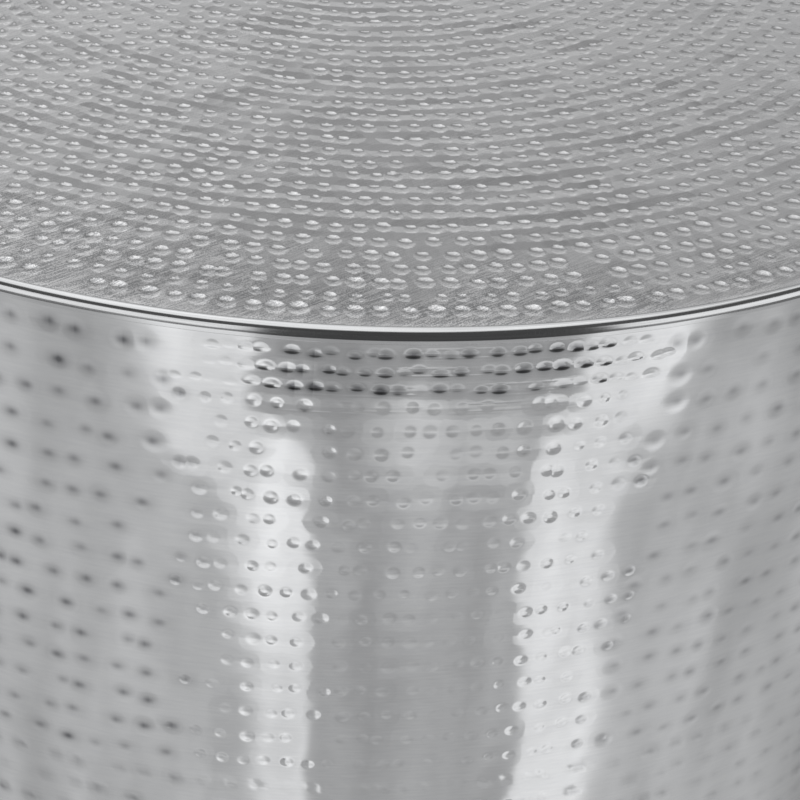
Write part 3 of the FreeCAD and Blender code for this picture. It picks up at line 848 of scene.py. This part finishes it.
# Each ramp holds the world's brightness at elevations in degrees, from straight down to straight up.
ABOVE = [(-16, .17), (-12, .17), (-9, .90), (20, .90), (24, .08), (52, .08), (62, .95)]
open_room = by_elevation([
    (-90, .06), (-68, .08), (-58, .50), (-36, .54), (-34, .47), (-30, .34), (-24, .15)] + ABOVE)
front = by_elevation([
    (-90, .10), (-58, .15), (-50, .43), (-37, .47), (-35.8, .38), (-34, .41), (-31, .34), (-28, .12),
    (-20, .06), (50, .06), (62, .95)])
glow = by_elevation([
    (-90, .10), (-58, .15), (-50, .43), (-39, .48), (-37.7, .70), (-37, .70), (-36.2, .46), (-35.6, .37),
    (-34, .41), (-31, .34), (-28, .12), (-20, .06), (50, .06), (62, .95)])
panel = by_elevation([(-90, .50), (-60, .90), (-20, .92)] + ABOVE)
drape = by_elevation([(-90, .30), (-60, .42), (-50, .36), (-44, .24), (-36, .15)] + ABOVE)
flank = by_elevation([(-90, .30), (-60, .45), (-31, .48), (-20, .40), (10, .50), (40, .70), (55, .95)])
pale_wall = by_elevation([
    (-90, .30), (-60, .45), (-10, .66), (0, .70), (9, .68), (15, .58), (19, .57), (24, .555), (27, .50),
    (30, .45), (33, .405), (35, .365), (37, .34), (41, .33), (43, .42), (46, .60), (53, .78), (62, .92),
    (72, .97)])

# The panels' edges lean and bend, as azimuths in degrees from the front at each elevation.
left_outer = border([
    (-45.2, -13), (-42.3, -16), (-39.5, -19), (-38.5, -23), (-37.7, -28.5), (-36.7, -31), (-35, -32.5)])
left_inner = border([
    (-41.3, -5), (-39.4, -7), (-38.4, -7), (-38, -9), (-37.6, -10), (-37.3, -12), (-37, -13),
    (-36.7, -16), (-36, -17), (-35, -15)])
right_inner = border([
    (-44.5, 31), (-42.6, 30), (-41.7, 27.5), (-38, 26.8), (-37.4, 26.5), (-36.6, 28), (-36.2, 30.5),
    (-35.8, 32), (-34.9, 34), (-34.3, 32.5)])
right_outer = border([
    (-44.2, 44), (-41.4, 42), (-38.5, 41), (-37.5, 42), (-36.6, 46), (-35.2, 48), (-33.8, 50)])

# The wall behind is brighter to the left.
side_light = node(tree, "ShaderNodeMapRange", {
    "Value": way.outputs["X"], "From Min": -0.2, "From Max": 0.38, "To Min": 1.15, "To Max": 0.81})
behind = node(tree, "ShaderNodeVectorMath", {0: pale_wall, 1: side_light}, operation="MULTIPLY")
room = open_room
for over, share in (
        (front, between(left_inner, right_inner, 3.0, 3.0)), (glow, between(3.0, 26.0, 2.5, 2.5)),
        (panel, between(left_outer, left_inner, 4.0, 0.9)),
        (panel, between(right_inner, right_outer, 0.9, 4.0)),
        (drape, between(-200.0, -59.5, 1.0, 3.5)), (drape, between(93.0, 200.0, 4.0, 1.0)),
        (flank, between(-200.0, -95.0, 1.0, 12.0)), (flank, between(100.0, 200.0, 12.0, 1.0)),
        (behind, between(-200.0, -120.0, 1.0, 14.0)), (behind, between(120.0, 200.0, 14.0, 1.0))):
    room = node(tree, "ShaderNodeMix", {0: share, 6: room, 7: over}, data_type="RGBA").outputs[2]
clutter = node(tree, "ShaderNodeTexNoise", {"Vector": gaze, "Scale": 9.0, "Detail": 2.0})
patchy = node(tree, "ShaderNodeMapRange", {
    "Value": clutter, "From Min": 0.3, "From Max": 0.7, "To Min": 0.82, "To Max": 1.18})

rays = node(tree, "ShaderNodeLightPath", {})
soft_fill = node(tree, "ShaderNodeBackground", {0: (1, 1, 1, 1), 1: 0.55})
plain_white = node(tree, "ShaderNodeBackground", {0: (1, 1, 1, 1), 1: 1.0})
mirrored = node(tree, "ShaderNodeBackground", {0: room, 1: patchy})
lit = node(tree, "ShaderNodeMixShader", {0: rays.outputs["Is Glossy Ray"], 1: soft_fill, 2: mirrored})
shown = node(tree, "ShaderNodeMixShader", {0: rays.outputs["Is Camera Ray"], 1: lit, 2: plain_white})
node(tree, "ShaderNodeOutputWorld", {0: shown})

LAMPS = (
    # name, place, width, watts
    ("lamp_left", (-1.6, -1.6, 2.2), 1.6, 26),
    ("lamp_right", (1.8, -1.2, 2.0), 1.4, 18),
)
LAMP_AIM = Vector((0, 0, 0.3))
for name, place, size, power in LAMPS:
    lamp = bpy.data.objects.new(name, bpy.data.lights.new(name, "AREA"))
    lamp.data.size = size
    lamp.data.energy = power
    lamp.location = place
    lamp.rotation_euler = (LAMP_AIM - Vector(place)).to_track_quat("-Z", "Y").to_euler()
    lamp.visible_glossy = False
    scene.collection.objects.link(lamp)
